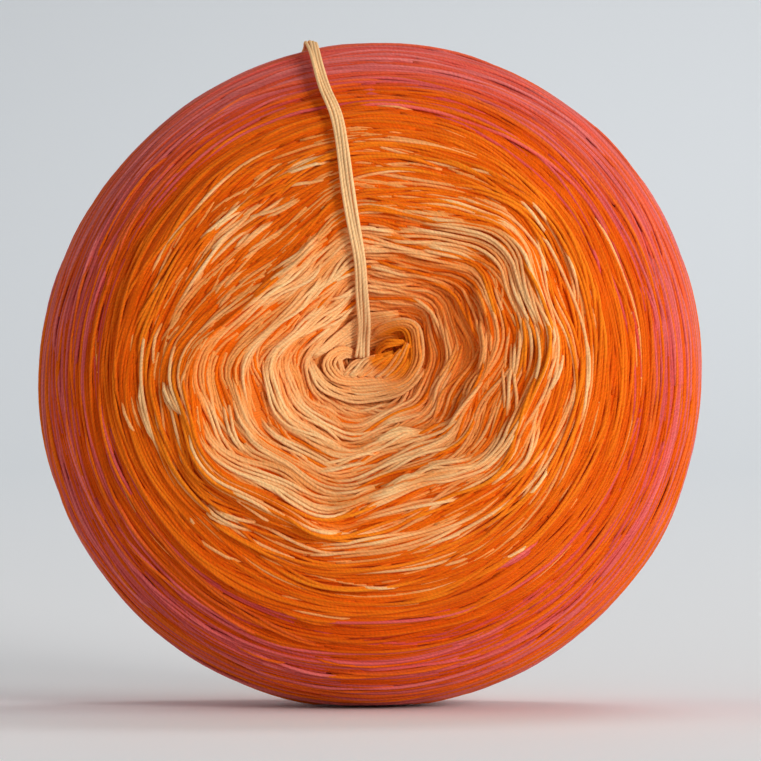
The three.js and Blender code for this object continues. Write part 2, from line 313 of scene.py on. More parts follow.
# The curls of thread in the pit. Each row holds the route, right and up from the pit's middle as seen
# from the front, how many threads there are, how far apart they run and how high they lie.
PIT_CURLS = [
    ([(-10.6, 0.6), (-6.8, 4.2), (-2.6, 7.2), (1.8, 8.8), (6, 9.2)], 5, 0.54, 0),
    ([(-6.4, 1.6), (-4, 3.6), (-0.6, 5), (2.6, 7), (6, 8.2)], 6, 0.54, -0.3),
    ([(-3.4, 1.6), (-1, 3), (1.2, 3.6), (3.6, 4.4), (6.4, 5)], 5, 0.54, -0.5),
    ([(-2, -0.2), (0, 1.2), (2.6, 1.8), (5, 2)], 6, 0.54, -0.8),
    ([(-10.6, -0.4), (-8.8, -3.7), (-5.4, -6.2), (-0.4, -7)]
     + [(4.6, -6.5), (8.3, -4.6), (10.4, -1.6)], 5, 0.54, 0),
    ([(0.2, 4.1), (2.8, 6), (6, 6.9), (8.2, 5.4), (9, 2.2)]
     + [(8.7, -1.2), (6.8, -3.8), (3, -5.2), (-1.4, -5.6), (-5, -4.8)], 6, 0.54, 0.3),
    ([(-2.2, 1), (-4.6, 1.7), (-6.7, 0.6), (-7.1, -1.5), (-5.4, -3.3)]
     + [(-1.2, -3.9), (3.4, -3.3), (6.4, -1.2), (7.6, 1.6)], 6, 0.52, 0.6),
    ([(-5, -3), (-3.6, -1.6), (-2, -0.6), (0.2, 0.5)], 3, 0.52, 1.2),
    ([(-3.8, -3.2), (-2.2, -1.8), (-0.4, -0.6), (2, 0.6)], 3, 0.52, 1.45),
    ([(-2.2, -3.4), (-0.6, -2), (1.2, -0.8), (3.8, 0.7)], 3, 0.52, 1.6),
    ([(-0.4, -3.5), (1.2, -2), (3, -0.6), (5.2, 1.2)], 3, 0.52, 1.6),
    ([(1.4, -3.6), (3.2, -2), (4.8, -0.4), (6.6, 2)], 3, 0.52, 1.4),
    ([(3, -3.7), (4.9, -1.9), (6.5, 0.4), (7.6, 3.2)], 3, 0.52, 1.05),
    ([(1.6, 0.2), (2, 1.8), (3.4, 3.2), (5.6, 3.7), (7.6, 3)], 3, 0.5, 0.9),
    ([(-3.4, -1.6), (-1, -0.9), (1.6, -0.3), (5.4, 1.2)], 6, 0.5, 0.8),
]
CURL_DYE = PEACH - 0.1
LUMP_LIFT = 1  # the curls that lie higher end on the lump, and the others dive
CURL_DIVES = {"lump": 0.4, "other": 1.1}
CURL_DIVE_LENGTH = 2.5
CURL_STEP = 0.9
CURL_WANDER = 0.1
CURL_SPREAD = 0.08  # in height
CURL_CROWN = 0.15  # how far its middle thread stands over the outer ones
CURL_TURN = 0.25  # share of the form's own slope in the direction that curls are raised in

rng = np.random.default_rng(20)


def smoothstep(value, low, high):
    share = np.clip((value - low) / (high - low), 0, 1)
    return share * share * (3 - 2 * share)


def lerp(a, b, share):
    return a + (b - a) * share


def through(points, share):
    """Points of a smooth line through these ones, at shares of the way from the first to the last."""
    points = np.array(points, float).reshape(len(points), -1)
    padded = np.concatenate([[2 * points[0] - points[1]], points, [2 * points[-1] - points[-2]]])
    at = np.clip(share, 0, 1) * (len(points) - 1)
    step = np.minimum(at.astype(int), len(points) - 2)
    t = (at - step)[:, None]
    before, start, end, after = (padded[step + k] for k in range(4))
    bend = 2 * before - 5 * start + 4 * end - after
    last = 3 * start - before - 3 * end + after
    return 0.5 * (2 * start + (end - before) * t + bend * t**2 + last * t**3)


# The wound form


def dimple_depth(dimple, radius):
    share = np.minimum(radius / dimple["radius"], 1)
    bowl = 0.5 + 0.5 * np.cos(np.pi * share)
    return dimple["depth"] * bowl + dimple["pit_depth"] * np.exp(-((radius / dimple["pit_radius"]) ** 2))


def measured_section():
    """Radius and Y of the section in small steps, with the distance along it."""
    degrees = np.arange(0, 180.01, 0.25)
    angle = np.radians(degrees)
    radius = RIM_RADIUS * np.abs(np.sin(angle)) ** (2 / FACE_POWER)
    dome = HALF_THICKNESS * np.abs(np.cos(angle)) ** (2 / RIM_POWER)
    front = dimple_depth(FRONT_DIMPLE, radius) - dome
    back = dome - dimple_depth(BACK_DIMPLE, radius)
    y = np.where(degrees < 90, front, back)
    steps = np.hypot(np.diff(radius), np.diff(y))
    return radius, y, np.concatenate([[0], np.cumsum(steps)])


SECTION_RADIUS, SECTION_Y, SECTION_LENGTH = measured_section()
WHOLE = SECTION_LENGTH[-1]
RIM_POINT = len(SECTION_LENGTH) // 2
RIM_PLACE = SECTION_LENGTH[RIM_POINT]


def ring_radius(place):
    return np.interp(place, SECTION_LENGTH, SECTION_RADIUS)


def sharp_polygon(degrees):
    first, reach = CORNERS[0]
    turns, reach = np.array([*CORNERS, (first + 360, reach)]).T
    turns = np.radians(turns)
    x, z = reach * np.cos(turns), reach * np.sin(turns)
    angle = np.radians((degrees - first) % 360 + first)
    after = np.clip(np.searchsorted(turns, angle, side="right"), 1, len(turns) - 1)
    ax, az, bx, bz = x[after - 1], z[after - 1], x[after], z[after]
    return (ax * bz - az * bx) / (np.cos(angle) * (bz - az) - np.sin(angle) * (bx - ax))


def polygon_pull(ring, degrees):
    shares = (-1, -0.5, 0, 0.5, 1)
    soft = sum(sharp_polygon(degrees + share * CORNER_SOFTNESS) for share in shares) / len(shares)
    inner = smoothstep(ring, PIT_RING, POLYGON_RINGS[0])
    outer = 1 - smoothstep(ring, POLYGON_RINGS[1], ROUND_RING)
    return lerp(1, soft, inner * outer)


def bundles_height(bundles, place, degrees):
    total = 0
    for places, (start, end), width, height in bundles:
        low, high = min(start, end), max(start, end)
        angle = (degrees - low) % 360 + low
        middle = lerp(*places, (angle - start) / (end - start))
        across = np.exp(-(((place - middle) / (width / 2)) ** 2))
        to_end = np.minimum(angle - low, high - angle) / BUNDLE_TAPER
        total = total + height * across * smoothstep(to_end, 0, 1)
    return total


def curl_height(x, z):
    total = 0
    for curl in CURLS:
        turn = math.radians(curl["turn"])
        right, up = x - curl["across"], z - curl["up"]
        along = right * math.cos(turn) + up * math.sin(turn)
        across = up * math.cos(turn) - right * math.sin(turn)
        fall = (along / (curl["length"] / 2)) ** 2 + (across / (curl["width"] / 2)) ** 2
        total = total + curl["height"] * np.exp(-fall)
    return total


def wound_surface(place, degrees):
    """Points of the wound form at these places and angles, measured from the rim's middle."""
    angle = np.radians(degrees)
    radius = ring_radius(place)
    y = np.interp(place, SECTION_LENGTH, SECTION_Y)
    out_radius = np.interp(place, SECTION_LENGTH, np.gradient(SECTION_Y, SECTION_LENGTH))
    out_y = -np.interp(place, SECTION_LENGTH, np.gradient(SECTION_RADIUS, SECTION_LENGTH))
    front = place <= RIM_PLACE
    wave = sum(w["height"] * np.cos(w["lobes"] * np.radians(degrees - w["peak"])) for w in RIM_WAVES)
    pull = np.where(front, polygon_pull(radius, degrees), 1)
    reach = radius * pull + wave * radius / RIM_RADIUS
    on_rim = smoothstep(radius, *RIM_STARTS)
    front_lift = bundles_height(FRONT_BUNDLES, radius, degrees)
    back_lift = bundles_height(BACK_BUNDLES, radius, degrees)
    rim_lift = bundles_height(RIM_BUNDLES, y, degrees)
    curls = np.where(front, curl_height(reach * np.cos(angle), reach * np.sin(angle)), 0)
    lift = lerp(np.where(front, front_lift, back_lift), rim_lift, on_rim) + curls
    shift = np.where(front, 1 - smoothstep(radius, POLYGON_RINGS[1], RIM_RADIUS), 0)
    across = reach + out_radius * lift
    x = FACE_SHIFT["across"] * shift + across * np.cos(angle)
    z = FACE_SHIFT["up"] * shift + across * np.sin(angle)
    z = np.maximum(z, FLAT_SPOT_DEPTH - RIM_RADIUS)
    return np.stack([x, y + out_y * lift, z], axis=-1)


# The form as a map of points and outward directions, which threads are laid on
MAP_STEP = 0.5
MAP_COLUMNS = 360


def surface_maps():
    """Points, outward directions, and how much further apart the places are than on a round form."""
    places = np.append(np.arange(0, WHOLE, MAP_STEP), WHOLE)
    degrees = np.arange(MAP_COLUMNS)
    points = wound_surface(*np.broadcast_arrays(places[:, None], degrees[None, :]))
    low, high = points.min((0, 1)), points.max((0, 1))
    cad = np.array(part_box("yarn_cake")) / MM
    middle = cad.mean(0) - (low + high) / 2
    points += [middle[0], middle[1], -low[2]]
    along = np.gradient(points, axis=0)
    wrapped = np.concatenate([points[:, -1:], points, points[:, :1]], axis=1)
    round_axis = (wrapped[:, 2:] - wrapped[:, :-2]) / 2
    outward = np.cross(along, round_axis)
    outward[0] = (0, -1, 0)
    outward[-1] = (0, 1, 0)
    outward /= np.linalg.norm(outward, axis=-1, keepdims=True)
    stretch = np.linalg.norm(along, axis=-1, keepdims=True) / MAP_STEP
    return points, outward, np.clip(stretch, *STRETCHES)


STRETCHES = (0.7, 2.4)
SURFACE, OUTWARD, STRETCH = surface_maps()


def sampled(grid, place, degrees, step=MAP_STEP):
    """A map's values between its points."""
    columns = grid.shape[1]
    row = np.clip(place / step, 0, len(grid) - 1.001)
    column = np.asarray(degrees) * columns / 360 % columns
    i, j = row.astype(int), column.astype(int) % columns
    down, side = (row - i)[..., None], (column - np.floor(column))[..., None]
    k = (j + 1) % columns
    return lerp(lerp(grid[i, j], grid[i, k], side), lerp(grid[i + 1, j], grid[i + 1, k], side), down)


# Laying the threads: a height map holds how high the yarn lies at each place and angle,
# each thread rests on what is already there, and the map then rises to its top
heights = np.zeros((int(WHOLE / CELL) + 2, COLUMNS))
NOTHING = -9.0  # a height far below all others
all_columns = np.arange(COLUMNS)
column_degrees = all_columns * 360 / COLUMNS
threads = []


def column_width(place):
    return max(ring_radius(np.mean(place)), 2) * 2 * np.pi / COLUMNS


def stretch_at(place):
    return sampled(STRETCH, place + 0 * column_degrees, column_degrees)[:, 0]


def eased(values, place, reach):
    """Values round a turn, smoothed over this distance."""
    lobes = np.arange(COLUMNS // 2 + 1)
    fade = np.exp(-2 * (np.pi * lobes * reach / column_width(place) / COLUMNS) ** 2)
    return np.fft.irfft(np.fft.rfft(values) * fade, COLUMNS)


def spanned(values, place):
    """The line of a taut thread over these heights."""
    reach = int(SPAN / column_width(place))
    highest = np.max([np.roll(values, step) for step in range(-reach, reach + 1)], axis=0)
    return eased(highest, place, SPAN)


def lay_thread(place, dye, laid=None, dive=0):
    """Lays one thread, as a whole turn or where it is marked as laid."""
    radius = THREAD / 2
    place = np.clip(place, CLOSEST, WHOLE - CLOSEST)
    stretch = stretch_at(place)
    first = np.floor((place - radius / stretch) / CELL).astype(int)
    cells, rises = [], []
    middle = np.full(COLUMNS, NOTHING)
    for step in range(int(THREAD / STRETCHES[0] / CELL) + 2):
        cell = np.clip(first + step, 0, len(heights) - 1)
        gap = ((first + step) * CELL - place) * stretch
        rise = np.sqrt(np.maximum(radius**2 - gap**2, 0))
        near = np.abs(gap) < radius
        middle = np.where(near, np.maximum(middle, heights[cell, all_columns] + rise), middle)
        cells.append(cell)
        rises.append(np.where(near, rise, NOTHING))
    middle = spanned(middle, place) - SQUEEZE - dive
    for cell, rise in zip(cells, rises):
        now = heights[cell, all_columns]
        top = np.maximum(now, middle + rise)
        heights[cell, all_columns] = top if laid is None else np.where(laid, top, now)
    threads.append({"place": place, "height": middle, "dye": dye, "laid": laid, "dive": dive + 0 * place})


def waves(lobes, shares):
    """A closed wavy line round the axis."""
    turn = np.radians(column_degrees)
    total = 0
    for lobe, share in zip(lobes, shares):
        total = total + share * np.cos(lobe * turn - rng.uniform(0, 2 * np.pi))
    return total


def linear(color):
    """A colour from sRGB, 0 to 255, to linear light."""
    share = np.array(color) / 255
    return np.where(share <= 0.04045, share / 12.92, ((share + 0.055) / 1.055) ** 2.4)


def dye_color(stops, dye):
    return np.array([np.interp(dye, range(len(stops)), channel) for channel in linear(stops).T])


def shaded(dye, share):
    """The colour of dyed thread with this share of painted shade, which stands in for light that has come
    through other thread.
    """
    return lerp(dye_color(CREST_COLORS, dye), dye_color(PAINTED_SHADE_COLORS, dye), share).T


def painted_shade_and_top_shift(place, degrees):
    """How far the dye number is moved: towards orange at the right of the dimple and in the pit, as
    painted shade, and further along the dyes at the top of the rim.
    """
    right_share, top_share = [
        np.maximum(np.cos(np.radians(degrees - shift["angle"])), 0) for shift in (RIGHT_PAINTED_SHADE, TOP_SHIFT)
    ]
    right = RIGHT_PAINTED_SHADE["dye"] * right_share * (1 - smoothstep(place, *RIGHT_PAINTED_SHADE["places"]))
    top = TOP_SHIFT["dye"] * top_share * smoothstep(place, *TOP_SHIFT["places"])
    return right + top + INNER_PAINTED_SHADE["dye"] * (1 - smoothstep(place, *INNER_PAINTED_SHADE["places"]))


def thread_dyes(level, spread=LEVEL_CHANCE):
    """The dyes of four threads, which change one at a time."""
    orange = np.interp(level, RUST_LEVELS, (ORANGE, RUST))
    pink = np.interp(level, ROSE_LEVELS, (PINK, ROSE))
    changed = round(level + rng.normal(0, spread))
    dyes = []
    for rank in rng.permutation(THREADS):
        if changed > THREADS:
            dyes.append(pink if rank < changed - THREADS else orange)
        else:
            dyes.append(orange if rank < changed else PEACH)
    return dyes + rng.normal(0, DYE_SPREAD, THREADS)


def dye_level(place):
    mirrored = np.where(place <= RIM_PLACE, place, (WHOLE - place) * RIM_PLACE / (WHOLE - RIM_PLACE))
    return np.interp(mirrored, DYE_PLACES, DYE_LEVELS)


def wind_even_layer():
    """Even turns side by side, which fill the gaps in the layers over them."""
    for place in np.arange(EVEN_START, WHOLE - EVEN_START, THREAD * EVEN_PITCH):
        path = place + EVEN_SWAY * waves(*EVEN_WAVES)
        lay_thread(path, thread_dyes(dye_level(place))[0])


def lay_group(path, looseness, level):
    """Lays four threads that run together along one path."""
    spread = 1 + looseness * (LOOSER + SWING * waves(*SPREAD_WAVES))
    roll = waves(*ROLL_WAVES) * looseness + rng.uniform(0, 2 * np.pi)
    middle = path.mean()
    parting = PARTING * smoothstep(middle, *PARTING_PLACES[:2])
    parting *= 1 - smoothstep(middle, *PARTING_PLACES[2:])
    dyes = thread_dyes(level)
    stretch = stretch_at(path)
    for rank in rng.permutation(THREADS):
        flat = (rank - (THREADS - 1) / 2) * GROUP_WIDTH / THREADS * np.maximum(spread, TIGHTEST)
        rolled = np.cos(roll + rank * np.pi / 2)
        own = (THREAD_SWAY + LOOSE_SWAY * looseness) * waves(*THREAD_WAVES)
        own += parting * waves(*PARTING_WAVES)
        lay_thread(path + (lerp(flat, rolled, ROLLED * looseness) + own) / stretch, dyes[rank])


def wind_layer():
    """One layer of turns, from the front's pit over the rim to the back's, in families that run alike."""
    families = []
    place = PIT + rng.uniform(0, GROUP_WIDTH)
    smallest, largest = FAMILY_SIZES
    while place < WHOLE - BACK_PIT:
        count = int(rng.integers(smallest, largest + 1))
        families.append((place, count))
        place += (count + rng.uniform(-OVERLAP, 0)) * GROUP_WIDTH
    for index in rng.permutation(len(families)):
        place, count = families[index]
        on_face = max(0, 1 - abs(place - FACE_MIDDLE) / FACE_REACH) if place < RIM_PLACE else TIGHT
        sway = min(lerp(*SWAY, on_face), SWAY_SHARE * min(place, WHOLE - place))
        shared = sway * waves(*FAMILY_WAVES)
        for group in range(count):
            own = OWN_SWAY * sway * waves(*GROUP_WAVES)
            middle = place + (group + 0.5) * GROUP_WIDTH
            path = middle + (shared + own) / stretch_at(middle)
            lay_group(path, lerp(TIGHT, 1, on_face), dye_level(middle))
    for place in rng.uniform(*FILL_PLACES, FILL_BUNDLES):
        places = place + rng.normal(0, FILL_SPREAD["place"], 4)
        angles = [end + rng.normal(0, FILL_SPREAD["angle"]) for end in FILL_ANGLES]
        lay_bundle(places, angles, THREADS, thread_dyes(dye_level(place)))


def lay_bundle(places, angles, count, dyes):
    """Threads side by side over part of a turn, which draw together and dive at both ends."""
    start, end = angles
    reach = abs(end - start)
    share = (column_degrees - start) * np.sign(end - start) % 360 / reach
    laid = share <= 1
    share = np.minimum(share, 1)
    path = through(places, share)[:, 0]
    length = np.radians(reach) * ring_radius(path.mean())
    stagger = min(STAGGER, length / 6)
    pitch = THREAD * BUNDLE_PITCH * lerp(NARROWING, 1, np.sqrt(np.sin(np.pi * share)))
    stretch = stretch_at(path)
    for rank in rng.permutation(count):
        across = (rank - (count - 1) / 2) * pitch + BUNDLE_WANDER * waves(*BUNDLE_WAVES)
        early, late = rng.uniform(0, stagger, 2)
        to_end = np.minimum(share * length - early, (1 - share) * length - late)
        dive = DIVE * (1 - smoothstep(to_end, 0, min(DIVE_LENGTH, length / 3)))
        lay_thread(path + across / stretch, dyes[rank], laid, dive)


def lay_short_bundles(number, places, angles, lengths, drifts, most, dye):
    for place in rng.uniform(*places, number):
        reach = np.degrees(rng.uniform(*lengths) / ring_radius(place))
        reach = min(reach, SHORT_REACH)
        start = rng.uniform(*angles) - reach / 2
        spread = drifts / sampled(STRETCH, np.array([place]), start + reach / 2)[0, 0]
        drift, bow = rng.normal(0, spread), rng.normal(0, spread / 2)
        count = int(rng.integers(1, most + 1))
        dyes = np.full(THREADS, dye)
        if dye is None:
            dyes = thread_dyes(dye_level(place), SHORT_DYE_SPREAD)
        lay_bundle((place - drift, place + bow, place + drift), (start, start + reach), count, dyes)


for layer in range(EVEN_LAYERS):
    wind_even_layer()
for layer in range(LAYERS):
    wind_layer()
for kind in SHORT_BUNDLES:
    lay_short_bundles(*kind)
for dye, bundles in ((PINK, PINK_BUNDLES), (PEACH, PEACH_BUNDLES)):
    for places, angles, count in bundles:
        lay_bundle(places, angles, count, dye + rng.normal(0, DYE_SPREAD, count))


def smoothed(grid):
    """A height map's means over a few millimetres."""
    lobes = np.arange(COLUMNS // 2 + 1)
    width = np.array([column_width(row * CELL) for row in range(len(grid))])
    fade = np.exp(-2 * (np.pi * lobes * (LEVEL_REACH / width)[:, None] / COLUMNS) ** 2)
    around = np.fft.irfft(np.fft.rfft(grid, axis=1) * fade, COLUMNS, axis=1)
    reach = int(LEVEL_REACH / CELL)
    window = np.hanning(2 * reach + 1)
    padded = np.pad(around, ((reach, reach), (0, 0)), mode="edge")
    columns = [np.convolve(column, window / window.sum(), mode="valid") for column in padded.T]
    return np.stack(columns, axis=1)


def surface_level():
    """The height that comes to lie on the wound form."""
    mean = smoothed(heights)
    spread = np.sqrt(np.maximum(smoothed(heights**2) - mean**2, 0))
    return (mean + LEVEL_SPREAD * spread)[..., None]


LEVEL = surface_level()


def settled(place, degrees, height, dive):
    """A thread's height over the wound form, with the differences drawn in."""
    past = smoothstep(place, *RELIEF_PLACES)
    level = sampled(LEVEL, place, degrees, CELL)[..., 0]
    top = (height + dive + THREAD / 2 - level) * lerp(FACE_RELIEF, RIM_RELIEF, past)
    most = np.where(top > 0, RISE, lerp(*GAP_DEPTHS, past))
    return most * np.tanh(top / most) - THREAD / 2 - RIM_SINK * past - dive


def shown_columns(thread):
    """The columns where a thread isn't buried under others, and a little beyond."""
    cell = np.round(thread["place"] / CELL).astype(int)
    around = [heights[np.clip(cell + step, 0, len(heights) - 1), all_columns] for step in (-1, 0, 1)]
    shown = np.min(around, axis=0) < thread["height"] + THREAD
    if thread["laid"] is not None:
        shown &= thread["laid"]
    beyond = int(BEYOND / column_width(thread["place"])) + 1
    window = np.ones(2 * beyond + 1)
    spread = np.convolve(np.tile(shown, 3), window, mode="same")[COLUMNS : 2 * COLUMNS] > 0.5
    if thread["laid"] is not None:
        spread &= thread["laid"]
    return spread


def runs_of(thread):
    """The shown stretches of a thread: lists of columns, and whether the stretch is the whole turn."""
    shown = shown_columns(thread)
    if shown.all():
        return [(all_columns, True)]
    start = int(np.argmin(shown))
    order = np.roll(all_columns, -start)
    marks = np.flatnonzero(np.diff(np.concatenate([[0], shown[order].astype(int), [0]])))
    return [(order[a:b], False) for a, b in marks.reshape(-1, 2) if b - a > 3]


def thread_run(thread, columns, closed):
    """The middle line of a stretch, in segments of even length, with the outward directions."""
    middle = thread["place"][columns].mean()
    segment = lerp(*SEGMENTS, smoothstep(middle, *SEGMENT_PLACES))
    stride = max(step for step in STRIDES if step <= max(segment / column_width(middle), 1))
    chosen = columns % stride == 0
    if not closed:
        chosen[: stride // 2 + 1] = False
        chosen[-stride // 2 - 1 :] = False
        chosen[[0, -1]] = True
    picked = columns[chosen]
    place, degrees = thread["place"][picked], column_degrees[picked]
    height = settled(place, degrees, thread["height"][picked], thread["dive"][picked])
    outward = sampled(OUTWARD, place, degrees)
    points = sampled(SURFACE, place, degrees) + outward * height[:, None]
    points[:, 2] = np.maximum(points[:, 2], THREAD * GROUND)
    # The shift paints shade at the dimple's right and in the pit, and moves the top of the rim further
    # along the dyes.
    dye = thread["dye"] + painted_shade_and_top_shift(place, degrees)
    return {"points": points, "outward": outward, "height": height, "closed": closed, "dye": dye}


def curl_runs(route, count, pitch, lift):
    """Threads along a short route in the pit, which draw together and dive at both ends."""
    length = np.linalg.norm(np.diff(np.array(route, float), axis=0), axis=1).sum()
    share = np.linspace(0, 1, max(6, int(length / CURL_STEP)))
    line = through(route, share)
    tangent = np.gradient(line, axis=0)
    tangent /= np.linalg.norm(tangent, axis=1, keepdims=True)
    side = np.stack([-tangent[:, 1], tangent[:, 0]], axis=1)
    ends = np.sin(np.pi * share)
    deepest = CURL_DIVES["lump" if lift >= LUMP_LIFT else "other"]
    to_end = np.minimum(share, 1 - share) * length
    dive = deepest * (1 - smoothstep(to_end, 0, CURL_DIVE_LENGTH))
    runs = []
    for rank in range(count):
        offset = (rank - (count - 1) / 2) * pitch * (0.5 + 0.5 * ends)
        offset += CURL_WANDER * np.sin(share * length * rng.uniform(0.5, 1) + rng.uniform(0, 2 * np.pi))
        x, z = (line + side * offset[:, None]).T
        place = np.interp(np.hypot(x, z), SECTION_RADIUS[:RIM_POINT], SECTION_LENGTH[:RIM_POINT])
        degrees = np.degrees(np.arctan2(z, x))
        outward = lerp(np.array([0, -1, 0]), sampled(OUTWARD, place, degrees), CURL_TURN)
        outward /= np.linalg.norm(outward, axis=1, keepdims=True)
        crown = CURL_CROWN * (1 - (2 * rank / max(count - 1, 1) - 1) ** 2)
        height = lift + crown - dive + rng.normal(0, CURL_SPREAD)
        points = sampled(SURFACE, place, degrees) + outward * height[:, None]
        # The shift paints shade at the dimple's right and in the pit.
        dye = CURL_DYE + rng.normal(0, DYE_SPREAD) + painted_shade_and_top_shift(place, degrees)
        runs.append({"points": points, "outward": outward, "height": height, "closed": False, "dye": dye})
    return runs


# Meshes. The painted shade's share grows on a thread's inner side, and with its depth down to this one.
UNDER_SHADE = 0.5
SHADE_DEPTH = 1
SHADE_START = 0.1  # depth where it begins
TONE_SPREAD = 0.04  # from thread to thread
CELL_MARGIN = 0.06  # round a segment in the baking map, as a share of its cell
CELL_SHAPE = 0.7  # width of the baking map in cells, over its height


def tube_mesh(name, runs, sides, radius):
    """Threads as one mesh, with their dye and painted shade as colours, and a map of the distance along
    (mm) and round (0 to 1).
    """
    corners, quads, caps, quad_maps, colors = [], [], [], [], []
    offset = 0
    for run in runs:
        points, outward = run["points"], run["outward"]
        if run["closed"]:
            tangent = np.roll(points, -1, 0) - np.roll(points, 1, 0)
        else:
            tangent = np.gradient(points, axis=0)
        tangent /= np.linalg.norm(tangent, axis=1, keepdims=True)
        side = np.cross(tangent, outward)
        side /= np.linalg.norm(side, axis=1, keepdims=True)
        up = np.cross(side, tangent)
        count = len(points)
        turn = 2 * np.pi * (np.arange(sides) / sides) + np.pi / 2
        ring = np.cos(turn)[None, :, None] * side[:, None] + np.sin(turn)[None, :, None] * up[:, None]
        corners.append((points[:, None] + radius * ring).reshape(-1, 3))
        links = count if run["closed"] else count - 1
        steps = np.linalg.norm(np.roll(points, -1, 0) - points, axis=1)
        along = np.concatenate([[0], np.cumsum(steps)]) + rng.uniform(0, 50)
        i = np.repeat(np.arange(links), sides)
        k = np.tile(np.arange(sides), links)
        j, m = (i + 1) % count, (k + 1) % sides
        square = [i * sides + k, i * sides + m, j * sides + m, j * sides + k]
        quads.append(offset + np.stack(square, axis=1))
        u0, u1, v0, v1 = along[i], along[i + 1], k / sides, (k + 1) / sides
        quad_maps.append(np.stack([u0, v0, u0, v1, u1, v1, u1, v0], axis=1).reshape(-1, 4, 2))
        if not run["closed"]:
            first = offset + np.arange(sides)
            caps.append(first[::-1])
            caps.append(first + (count - 1) * sides)
        # Painted shade: the colour turns towards the dye's shade colour on the thread's inner side and
        # with its depth under the other threads.
        under = (1 - np.sin(turn)[None, :]) / 2
        depth = np.clip((-run["height"][:, None] - THREAD / 2 - SHADE_START) / SHADE_DEPTH, 0, 1)
        share = np.clip(UNDER_SHADE * under + depth, 0, 1).ravel()
        colors.append(shaded(np.repeat(run["dye"], sides), share) * rng.normal(1, TONE_SPREAD))
        offset += count * sides
    co = np.concatenate(corners)
    co[:, 2] = np.maximum(co[:, 2], 0)
    quads = np.concatenate(quads)
    caps = np.array(caps, int).reshape(-1, sides)
    mesh = bpy.data.meshes.new(name)
    mesh.vertices.add(len(co))
    mesh.vertices.foreach_set("co", (co * MM).ravel())
    loops = np.concatenate([quads.ravel(), caps.ravel()])
    totals = np.concatenate([np.full(len(quads), 4), np.full(len(caps), sides)])
    mesh.loops.add(len(loops))
    mesh.loops.foreach_set("vertex_index", loops)
    mesh.polygons.add(len(totals))
    mesh.polygons.foreach_set("loop_start", np.concatenate([[0], np.cumsum(totals)[:-1]]))
    mesh.polygons.foreach_set("use_smooth", np.ones(len(totals), bool))
    mesh.update(calc_edges=True)
    thread_map = np.concatenate([np.concatenate(quad_maps).reshape(-1, 2), np.zeros((caps.size, 2))])
    mesh.uv_layers.new(name="thread").data.foreach_set("uv", thread_map.ravel())
    bake_map = np.concatenate([packed_map(len(quads) // sides, sides), np.zeros((caps.size, 2))])
    mesh.uv_layers.new(name="OFBake").data.foreach_set("uv", bake_map.ravel())
    # The dye attribute holds each thread's dye with its painted shade.
    dye = mesh.attributes.new("dye", "FLOAT_COLOR", "POINT")
    colors = np.clip(np.concatenate(colors), 0, 1)
    dye.data.foreach_set("color", np.column_stack([colors, np.ones(len(colors))]).ravel())
    piece = bpy.data.objects.new(name, mesh)
    bpy.context.scene.collection.objects.link(piece)
    return piece


def packed_map(count, sides):
    """A map with each segment's sides in a cell of its own, in rows, for baking."""
    across = math.ceil(math.sqrt(count * CELL_SHAPE))
    down = math.ceil(count / across)
    index = np.repeat(np.arange(count), sides)
    side = np.tile(np.arange(sides), count)
    u0, row = index % across, index // across
    v0 = CELL_MARGIN + side * (1 - 2 * CELL_MARGIN) / sides
    v1 = CELL_MARGIN + (side + 1) * (1 - 2 * CELL_MARGIN) / sides
    corners = [(u0, v0), (u0, v1), (u0 + 1, v1), (u0 + 1, v0)]
    places = [np.stack([u / across, (row + v) / down], axis=1) for u, v in corners]
    return np.stack(places, axis=1).reshape(-1, 2)


# Materials
PLY_PITCH = 1.9  # length of one turn of a thread's twist
FIBRE_LENGTH = 1.6
SLACK = 9  # how far the twist wanders, in radians
BUMP = 0.00012  # in metres


def add_node(tree, kind, inputs=(), **settings):
    node = tree.nodes.new(kind)
    for key, value in settings.items():
        setattr(node, key, value)
    for socket, value in dict(inputs).items():
        if isinstance(value, bpy.types.NodeSocket):
            tree.links.new(value, node.inputs[socket])
        else:
            node.inputs[socket].default_value = value
    return node


def math_node(tree, operation, a, b=0.0):
    return add_node(tree, "ShaderNodeMath", {0: a, 1: b}, operation=operation).outputs[0]


def map_range(tree, value, low, high, to_low, to_high):
    inputs = {"Value": value, "From Min": low, "From Max": high, "To Min": to_low, "To Max": to_high}
    return add_node(tree, "ShaderNodeMapRange", inputs).outputs["Result"]


def noise(tree, position, scale, detail):
    inputs = {"Vector": position, "Scale": scale, "Detail": detail, "Roughness": 0.6}
    return add_node(tree, "ShaderNodeTexNoise", inputs).outputs["Fac"]


